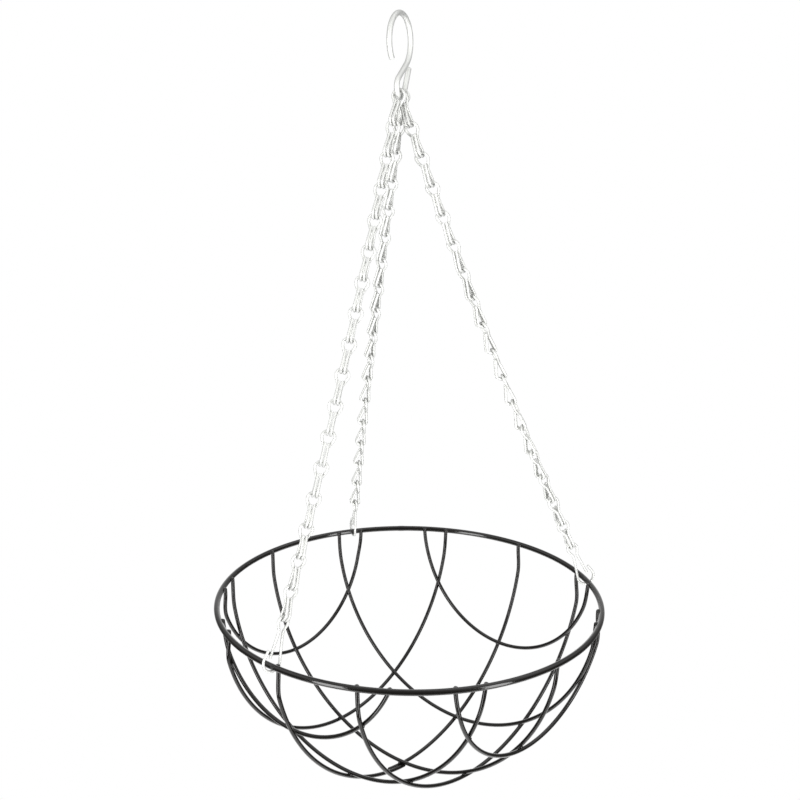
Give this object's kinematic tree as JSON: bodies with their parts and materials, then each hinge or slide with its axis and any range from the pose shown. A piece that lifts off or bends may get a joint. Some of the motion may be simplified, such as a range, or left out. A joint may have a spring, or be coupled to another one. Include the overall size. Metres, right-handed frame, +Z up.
{
  "type": "wire hanging basket",
  "caption": "Round-bottomed open wire hanging basket with a round-wire rim, crossing bowl wires, chains of bent wire links with spring clips, and an S-hook.",
  "frame": {"origin": "the hook's seat: the inside of the top of its upper bend, where a bracket or ring carries it", "axes": "+Z up; angles round the basket run from +X towards +Y; the picture is taken from -Y"},
  "size_m": [0.3049, 0.305, 0.5836],
  "materials": {
    "black_coated_wire": "gloss plastic coating over steel wire, slightly uneven",
    "zinc_wire": "bright zinc plating on bent steel wire"
  },
  "bodies": {
    "hook": {"s_hook": "zinc_wire"},
    "basket": {"rim_with_small_loops": "black_coated_wire", "middle_loops": "black_coated_wire", "great_arc": "black_coated_wire", "lapped_arc_left": "black_coated_wire", "lapped_arc_right": "black_coated_wire", "front_clip": "zinc_wire", "right_clip": "zinc_wire", "back_clip": "zinc_wire"},
    "front_chain_link_01": {"front_chain_link_01": "zinc_wire"},
    "front_chain_link_02": {"front_chain_link_02": "zinc_wire"},
    "front_chain_link_03": {"front_chain_link_03": "zinc_wire"},
    "front_chain_link_04": {"front_chain_link_04": "zinc_wire"},
    "front_chain_link_05": {"front_chain_link_05": "zinc_wire"},
    "front_chain_link_06": {"front_chain_link_06": "zinc_wire"},
    "front_chain_link_07": {"front_chain_link_07": "zinc_wire"},
    "front_chain_link_08": {"front_chain_link_08": "zinc_wire"},
    "front_chain_link_09": {"front_chain_link_09": "zinc_wire"},
    "front_chain_link_10": {"front_chain_link_10": "zinc_wire"},
    "front_chain_link_11": {"front_chain_link_11": "zinc_wire"},
    "front_chain_link_12": {"front_chain_link_12": "zinc_wire"},
    "front_chain_link_13": {"front_chain_link_13": "zinc_wire"},
    "front_chain_link_14": {"front_chain_link_14": "zinc_wire"},
    "front_chain_link_15": {"front_chain_link_15": "zinc_wire"},
    "front_chain_link_16": {"front_chain_link_16": "zinc_wire"},
    "front_chain_link_17": {"front_chain_link_17": "zinc_wire"},
    "right_chain_link_01": {"right_chain_link_01": "zinc_wire"},
    "right_chain_link_02": {"right_chain_link_02": "zinc_wire"},
    "right_chain_link_03": {"right_chain_link_03": "zinc_wire"},
    "right_chain_link_04": {"right_chain_link_04": "zinc_wire"},
    "right_chain_link_05": {"right_chain_link_05": "zinc_wire"},
    "right_chain_link_06": {"right_chain_link_06": "zinc_wire"},
    "right_chain_link_07": {"right_chain_link_07": "zinc_wire"},
    "right_chain_link_08": {"right_chain_link_08": "zinc_wire"},
    "right_chain_link_09": {"right_chain_link_09": "zinc_wire"},
    "right_chain_link_10": {"right_chain_link_10": "zinc_wire"},
    "right_chain_link_11": {"right_chain_link_11": "zinc_wire"},
    "right_chain_link_12": {"right_chain_link_12": "zinc_wire"},
    "right_chain_link_13": {"right_chain_link_13": "zinc_wire"},
    "right_chain_link_14": {"right_chain_link_14": "zinc_wire"},
    "right_chain_link_15": {"right_chain_link_15": "zinc_wire"},
    "right_chain_link_16": {"right_chain_link_16": "zinc_wire"},
    "right_chain_link_17": {"right_chain_link_17": "zinc_wire"},
    "back_chain_link_01": {"back_chain_link_01": "zinc_wire"},
    "back_chain_link_02": {"back_chain_link_02": "zinc_wire"},
    "back_chain_link_03": {"back_chain_link_03": "zinc_wire"},
    "back_chain_link_04": {"back_chain_link_04": "zinc_wire"},
    "back_chain_link_05": {"back_chain_link_05": "zinc_wire"},
    "back_chain_link_06": {"back_chain_link_06": "zinc_wire"},
    "back_chain_link_07": {"back_chain_link_07": "zinc_wire"},
    "back_chain_link_08": {"back_chain_link_08": "zinc_wire"},
    "back_chain_link_09": {"back_chain_link_09": "zinc_wire"},
    "back_chain_link_10": {"back_chain_link_10": "zinc_wire"},
    "back_chain_link_11": {"back_chain_link_11": "zinc_wire"},
    "back_chain_link_12": {"back_chain_link_12": "zinc_wire"},
    "back_chain_link_13": {"back_chain_link_13": "zinc_wire"},
    "back_chain_link_14": {"back_chain_link_14": "zinc_wire"},
    "back_chain_link_15": {"back_chain_link_15": "zinc_wire"},
    "back_chain_link_16": {"back_chain_link_16": "zinc_wire"},
    "back_chain_link_17": {"back_chain_link_17": "zinc_wire"}
  },
  "joints": [
    {"name": "basket_swing", "type": "hinge", "parent": "hook", "child": "basket", "pos_m": [0, 0, -0.05381], "axis": [0.3827, 0.9239, 0], "range_deg": [-18, 18]},
    {"name": "front_chain_turn_01", "type": "hinge", "parent": "basket", "child": "front_chain_link_01", "pos_m": [-0.00078, -0.00303, -0.04922], "axis": [0.1928, 0.2344, 0.9528], "range_deg": [-5.4, 5.4]},
    {"name": "front_chain_turn_02", "type": "hinge", "parent": "basket", "child": "front_chain_link_02", "pos_m": [-0.00506, -0.00823, -0.07037], "axis": [0.1966, 0.239, 0.9509], "range_deg": [-10.4, 10.4]},
    {"name": "front_chain_turn_03", "type": "hinge", "parent": "basket", "child": "front_chain_link_03", "pos_m": [-0.00942, -0.01354, -0.09148], "axis": [0.2004, 0.2435, 0.949], "range_deg": [-15.1, 15.1]},
    {"name": "front_chain_turn_04", "type": "hinge", "parent": "basket", "child": "front_chain_link_04", "pos_m": [-0.01387, -0.01894, -0.11255], "axis": [0.2042, 0.248, 0.947], "range_deg": [-19.4, 19.4]},
    {"name": "front_chain_turn_05", "type": "hinge", "parent": "basket", "child": "front_chain_link_05", "pos_m": [-0.01841, -0.02445, -0.13357], "axis": [0.208, 0.2525, 0.945], "range_deg": [-23.1, 23.1]},
    {"name": "front_chain_turn_06", "type": "hinge", "parent": "basket", "child": "front_chain_link_06", "pos_m": [-0.02303, -0.03006, -0.15455], "axis": [0.2118, 0.2571, 0.9429], "range_deg": [-26.1, 26.1]},
    {"name": "front_chain_turn_07", "type": "hinge", "parent": "basket", "child": "front_chain_link_07", "pos_m": [-0.02773, -0.03576, -0.17548], "axis": [0.2156, 0.2616, 0.9408], "range_deg": [-28.3, 28.3]},
    {"name": "front_chain_turn_08", "type": "hinge", "parent": "basket", "child": "front_chain_link_08", "pos_m": [-0.03251, -0.04157, -0.19637], "axis": [0.2194, 0.2661, 0.9387], "range_deg": [-29.7, 29.7]},
    {"name": "front_chain_twist", "type": "hinge", "parent": "basket", "child": "front_chain_link_09", "pos_m": [-0.03738, -0.04748, -0.21721], "axis": [0.2232, 0.2705, 0.9365], "range_deg": [-30, 30], "stiffness_Nm_per_rad": 0.002},
    {"name": "front_chain_turn_10", "type": "hinge", "parent": "basket", "child": "front_chain_link_10", "pos_m": [-0.04234, -0.05348, -0.238], "axis": [0.2269, 0.275, 0.9343], "range_deg": [-29.7, 29.7]},
    {"name": "front_chain_turn_11", "type": "hinge", "parent": "basket", "child": "front_chain_link_11", "pos_m": [-0.04738, -0.05959, -0.25874], "axis": [0.2307, 0.2795, 0.932], "range_deg": [-28.3, 28.3]},
    {"name": "front_chain_turn_12", "type": "hinge", "parent": "basket", "child": "front_chain_link_12", "pos_m": [-0.0525, -0.06579, -0.27943], "axis": [0.2344, 0.2839, 0.9297], "range_deg": [-26.1, 26.1]},
    {"name": "front_chain_turn_13", "type": "hinge", "parent": "basket", "child": "front_chain_link_13", "pos_m": [-0.0577, -0.0721, -0.30007], "axis": [0.2382, 0.2884, 0.9274], "range_deg": [-23.1, 23.1]},
    {"name": "front_chain_turn_14", "type": "hinge", "parent": "basket", "child": "front_chain_link_14", "pos_m": [-0.06299, -0.0785, -0.32066], "axis": [0.2419, 0.2928, 0.9251], "range_deg": [-19.4, 19.4]},
    {"name": "front_chain_turn_15", "type": "hinge", "parent": "basket", "child": "front_chain_link_15", "pos_m": [-0.06836, -0.085, -0.34119], "axis": [0.2456, 0.2972, 0.9227], "range_deg": [-15.1, 15.1]},
    {"name": "front_chain_turn_16", "type": "hinge", "parent": "basket", "child": "front_chain_link_16", "pos_m": [-0.07381, -0.0916, -0.36168], "axis": [0.2493, 0.3016, 0.9203], "range_deg": [-10.4, 10.4]},
    {"name": "front_chain_turn_17", "type": "hinge", "parent": "basket", "child": "front_chain_link_17", "pos_m": [-0.07935, -0.09829, -0.38211], "axis": [0.253, 0.306, 0.9178], "range_deg": [-5.4, 5.4]},
    {"name": "right_chain_turn_01", "type": "hinge", "parent": "basket", "child": "right_chain_link_01", "pos_m": [-0.00161, -0.00078, -0.05086], "axis": [-0.3178, -0.0893, 0.944], "range_deg": [-5.4, 5.4]},
    {"name": "right_chain_turn_02", "type": "hinge", "parent": "basket", "child": "right_chain_link_02", "pos_m": [0.00557, 0.00124, -0.0722], "axis": [-0.3215, -0.0903, 0.9426], "range_deg": [-10.4, 10.4]},
    {"name": "right_chain_turn_03", "type": "hinge", "parent": "basket", "child": "right_chain_link_03", "pos_m": [0.01284, 0.00328, -0.0935], "axis": [-0.3252, -0.0913, 0.9412], "range_deg": [-15.1, 15.1]},
    {"name": "right_chain_turn_04", "type": "hinge", "parent": "basket", "child": "right_chain_link_04", "pos_m": [0.02019, 0.00534, -0.11477], "axis": [-0.329, -0.0923, 0.9398], "range_deg": [-19.4, 19.4]},
    {"name": "right_chain_turn_05", "type": "hinge", "parent": "basket", "child": "right_chain_link_05", "pos_m": [0.02762, 0.00743, -0.13601], "axis": [-0.3327, -0.0932, 0.9384], "range_deg": [-23.1, 23.1]},
    {"name": "right_chain_turn_06", "type": "hinge", "parent": "basket", "child": "right_chain_link_06", "pos_m": [0.03514, 0.00954, -0.15722], "axis": [-0.3364, -0.0942, 0.937], "range_deg": [-26.1, 26.1]},
    {"name": "right_chain_turn_07", "type": "hinge", "parent": "basket", "child": "right_chain_link_07", "pos_m": [0.04274, 0.01167, -0.1784], "axis": [-0.3401, -0.0952, 0.9356], "range_deg": [-28.3, 28.3]},
    {"name": "right_chain_turn_08", "type": "hinge", "parent": "basket", "child": "right_chain_link_08", "pos_m": [0.05043, 0.01382, -0.19954], "axis": [-0.3438, -0.0962, 0.9341], "range_deg": [-29.7, 29.7]},
    {"name": "right_chain_twist", "type": "hinge", "parent": "basket", "child": "right_chain_link_09", "pos_m": [0.0582, 0.01599, -0.22065], "axis": [-0.3475, -0.0972, 0.9326], "range_deg": [-30, 30], "stiffness_Nm_per_rad": 0.002},
    {"name": "right_chain_turn_10", "type": "hinge", "parent": "basket", "child": "right_chain_link_10", "pos_m": [0.06605, 0.01819, -0.24173], "axis": [-0.3512, -0.0982, 0.9311], "range_deg": [-29.7, 29.7]},
    {"name": "right_chain_turn_11", "type": "hinge", "parent": "basket", "child": "right_chain_link_11", "pos_m": [0.07399, 0.02041, -0.26277], "axis": [-0.3549, -0.0992, 0.9296], "range_deg": [-28.3, 28.3]},
    {"name": "right_chain_turn_12", "type": "hinge", "parent": "basket", "child": "right_chain_link_12", "pos_m": [0.08201, 0.02265, -0.28378], "axis": [-0.3586, -0.1001, 0.9281], "range_deg": [-26.1, 26.1]},
    {"name": "right_chain_turn_13", "type": "hinge", "parent": "basket", "child": "right_chain_link_13", "pos_m": [0.09012, 0.02491, -0.30476], "axis": [-0.3623, -0.1011, 0.9266], "range_deg": [-23.1, 23.1]},
    {"name": "right_chain_turn_14", "type": "hinge", "parent": "basket", "child": "right_chain_link_14", "pos_m": [0.0983, 0.0272, -0.3257], "axis": [-0.3659, -0.1021, 0.925], "range_deg": [-19.4, 19.4]},
    {"name": "right_chain_turn_15", "type": "hinge", "parent": "basket", "child": "right_chain_link_15", "pos_m": [0.10657, 0.0295, -0.3466], "axis": [-0.3696, -0.1031, 0.9235], "range_deg": [-15.1, 15.1]},
    {"name": "right_chain_turn_16", "type": "hinge", "parent": "basket", "child": "right_chain_link_16", "pos_m": [0.11493, 0.03183, -0.36747], "axis": [-0.3733, -0.104, 0.9219], "range_deg": [-10.4, 10.4]},
    {"name": "right_chain_turn_17", "type": "hinge", "parent": "basket", "child": "right_chain_link_17", "pos_m": [0.12336, 0.03419, -0.38831], "axis": [-0.3769, -0.105, 0.9203], "range_deg": [-5.4, 5.4]},
    {"name": "back_chain_turn_01", "type": "hinge", "parent": "basket", "child": "back_chain_link_01", "pos_m": [0.00198, 0.00214, -0.04985], "axis": [0.148, -0.3274, 0.9332], "range_deg": [-5.4, 5.4]},
    {"name": "back_chain_turn_02", "type": "hinge", "parent": "basket", "child": "back_chain_link_02", "pos_m": [-0.00133, 0.00945, -0.0707], "axis": [0.1455, -0.3282, 0.9333], "range_deg": [-10.4, 10.4]},
    {"name": "back_chain_turn_03", "type": "hinge", "parent": "basket", "child": "back_chain_link_03", "pos_m": [-0.00458, 0.01679, -0.09156], "axis": [0.1431, -0.3291, 0.9334], "range_deg": [-15.1, 15.1]},
    {"name": "back_chain_turn_04", "type": "hinge", "parent": "basket", "child": "back_chain_link_04", "pos_m": [-0.00778, 0.02415, -0.11242], "axis": [0.1407, -0.33, 0.9334], "range_deg": [-19.4, 19.4]},
    {"name": "back_chain_turn_05", "type": "hinge", "parent": "basket", "child": "back_chain_link_05", "pos_m": [-0.01093, 0.03152, -0.13329], "axis": [0.1382, -0.3309, 0.9335], "range_deg": [-23.1, 23.1]},
    {"name": "back_chain_turn_06", "type": "hinge", "parent": "basket", "child": "back_chain_link_06", "pos_m": [-0.01402, 0.03892, -0.15415], "axis": [0.1358, -0.3318, 0.9335], "range_deg": [-26.1, 26.1]},
    {"name": "back_chain_turn_07", "type": "hinge", "parent": "basket", "child": "back_chain_link_07", "pos_m": [-0.01705, 0.04633, -0.17501], "axis": [0.1334, -0.3326, 0.9336], "range_deg": [-28.3, 28.3]},
    {"name": "back_chain_turn_08", "type": "hinge", "parent": "basket", "child": "back_chain_link_08", "pos_m": [-0.02003, 0.05377, -0.19588], "axis": [0.1309, -0.3335, 0.9336], "range_deg": [-29.7, 29.7]},
    {"name": "back_chain_twist", "type": "hinge", "parent": "basket", "child": "back_chain_link_09", "pos_m": [-0.02296, 0.06122, -0.21675], "axis": [0.1285, -0.3344, 0.9336], "range_deg": [-30, 30], "stiffness_Nm_per_rad": 0.002},
    {"name": "back_chain_turn_10", "type": "hinge", "parent": "basket", "child": "back_chain_link_10", "pos_m": [-0.02583, 0.06869, -0.23761], "axis": [0.1261, -0.3353, 0.9337], "range_deg": [-29.7, 29.7]},
    {"name": "back_chain_turn_11", "type": "hinge", "parent": "basket", "child": "back_chain_link_11", "pos_m": [-0.02865, 0.07619, -0.25848], "axis": [0.1236, -0.3361, 0.9337], "range_deg": [-28.3, 28.3]},
    {"name": "back_chain_turn_12", "type": "hinge", "parent": "basket", "child": "back_chain_link_12", "pos_m": [-0.03141, 0.0837, -0.27935], "axis": [0.1212, -0.337, 0.9337], "range_deg": [-26.1, 26.1]},
    {"name": "back_chain_turn_13", "type": "hinge", "parent": "basket", "child": "back_chain_link_13", "pos_m": [-0.03412, 0.09123, -0.30021], "axis": [0.1188, -0.3379, 0.9337], "range_deg": [-23.1, 23.1]},
    {"name": "back_chain_turn_14", "type": "hinge", "parent": "basket", "child": "back_chain_link_14", "pos_m": [-0.03677, 0.09878, -0.32108], "axis": [0.1163, -0.3387, 0.9337], "range_deg": [-19.4, 19.4]},
    {"name": "back_chain_turn_15", "type": "hinge", "parent": "basket", "child": "back_chain_link_15", "pos_m": [-0.03937, 0.10635, -0.34195], "axis": [0.1139, -0.3396, 0.9337], "range_deg": [-15.1, 15.1]},
    {"name": "back_chain_turn_16", "type": "hinge", "parent": "basket", "child": "back_chain_link_16", "pos_m": [-0.04192, 0.11394, -0.36282], "axis": [0.1114, -0.3404, 0.9336], "range_deg": [-10.4, 10.4]},
    {"name": "back_chain_turn_17", "type": "hinge", "parent": "basket", "child": "back_chain_link_17", "pos_m": [-0.04441, 0.12155, -0.38368], "axis": [0.109, -0.3413, 0.9336], "range_deg": [-5.4, 5.4]}
  ],
  "couplings": [
    {"joint": "front_chain_turn_01", "follows": "front_chain_twist", "ratio": 0.1736},
    {"joint": "front_chain_turn_02", "follows": "front_chain_twist", "ratio": 0.342},
    {"joint": "front_chain_turn_03", "follows": "front_chain_twist", "ratio": 0.5},
    {"joint": "front_chain_turn_04", "follows": "front_chain_twist", "ratio": 0.6428},
    {"joint": "front_chain_turn_05", "follows": "front_chain_twist", "ratio": 0.766},
    {"joint": "front_chain_turn_06", "follows": "front_chain_twist", "ratio": 0.866},
    {"joint": "front_chain_turn_07", "follows": "front_chain_twist", "ratio": 0.9397},
    {"joint": "front_chain_turn_08", "follows": "front_chain_twist", "ratio": 0.9848},
    {"joint": "front_chain_turn_10", "follows": "front_chain_twist", "ratio": 0.9848},
    {"joint": "front_chain_turn_11", "follows": "front_chain_twist", "ratio": 0.9397},
    {"joint": "front_chain_turn_12", "follows": "front_chain_twist", "ratio": 0.866},
    {"joint": "front_chain_turn_13", "follows": "front_chain_twist", "ratio": 0.766},
    {"joint": "front_chain_turn_14", "follows": "front_chain_twist", "ratio": 0.6428},
    {"joint": "front_chain_turn_15", "follows": "front_chain_twist", "ratio": 0.5},
    {"joint": "front_chain_turn_16", "follows": "front_chain_twist", "ratio": 0.342},
    {"joint": "front_chain_turn_17", "follows": "front_chain_twist", "ratio": 0.1736},
    {"joint": "right_chain_turn_01", "follows": "right_chain_twist", "ratio": 0.1736},
    {"joint": "right_chain_turn_02", "follows": "right_chain_twist", "ratio": 0.342},
    {"joint": "right_chain_turn_03", "follows": "right_chain_twist", "ratio": 0.5},
    {"joint": "right_chain_turn_04", "follows": "right_chain_twist", "ratio": 0.6428},
    {"joint": "right_chain_turn_05", "follows": "right_chain_twist", "ratio": 0.766},
    {"joint": "right_chain_turn_06", "follows": "right_chain_twist", "ratio": 0.866},
    {"joint": "right_chain_turn_07", "follows": "right_chain_twist", "ratio": 0.9397},
    {"joint": "right_chain_turn_08", "follows": "right_chain_twist", "ratio": 0.9848},
    {"joint": "right_chain_turn_10", "follows": "right_chain_twist", "ratio": 0.9848},
    {"joint": "right_chain_turn_11", "follows": "right_chain_twist", "ratio": 0.9397},
    {"joint": "right_chain_turn_12", "follows": "right_chain_twist", "ratio": 0.866},
    {"joint": "right_chain_turn_13", "follows": "right_chain_twist", "ratio": 0.766},
    {"joint": "right_chain_turn_14", "follows": "right_chain_twist", "ratio": 0.6428},
    {"joint": "right_chain_turn_15", "follows": "right_chain_twist", "ratio": 0.5},
    {"joint": "right_chain_turn_16", "follows": "right_chain_twist", "ratio": 0.342},
    {"joint": "right_chain_turn_17", "follows": "right_chain_twist", "ratio": 0.1736},
    {"joint": "back_chain_turn_01", "follows": "back_chain_twist", "ratio": 0.1736},
    {"joint": "back_chain_turn_02", "follows": "back_chain_twist", "ratio": 0.342},
    {"joint": "back_chain_turn_03", "follows": "back_chain_twist", "ratio": 0.5},
    {"joint": "back_chain_turn_04", "follows": "back_chain_twist", "ratio": 0.6428},
    {"joint": "back_chain_turn_05", "follows": "back_chain_twist", "ratio": 0.766},
    {"joint": "back_chain_turn_06", "follows": "back_chain_twist", "ratio": 0.866},
    {"joint": "back_chain_turn_07", "follows": "back_chain_twist", "ratio": 0.9397},
    {"joint": "back_chain_turn_08", "follows": "back_chain_twist", "ratio": 0.9848},
    {"joint": "back_chain_turn_10", "follows": "back_chain_twist", "ratio": 0.9848},
    {"joint": "back_chain_turn_11", "follows": "back_chain_twist", "ratio": 0.9397},
    {"joint": "back_chain_turn_12", "follows": "back_chain_twist", "ratio": 0.866},
    {"joint": "back_chain_turn_13", "follows": "back_chain_twist", "ratio": 0.766},
    {"joint": "back_chain_turn_14", "follows": "back_chain_twist", "ratio": 0.6428},
    {"joint": "back_chain_turn_15", "follows": "back_chain_twist", "ratio": 0.5},
    {"joint": "back_chain_turn_16", "follows": "back_chain_twist", "ratio": 0.342},
    {"joint": "back_chain_turn_17", "follows": "back_chain_twist", "ratio": 0.1736}
  ]
}
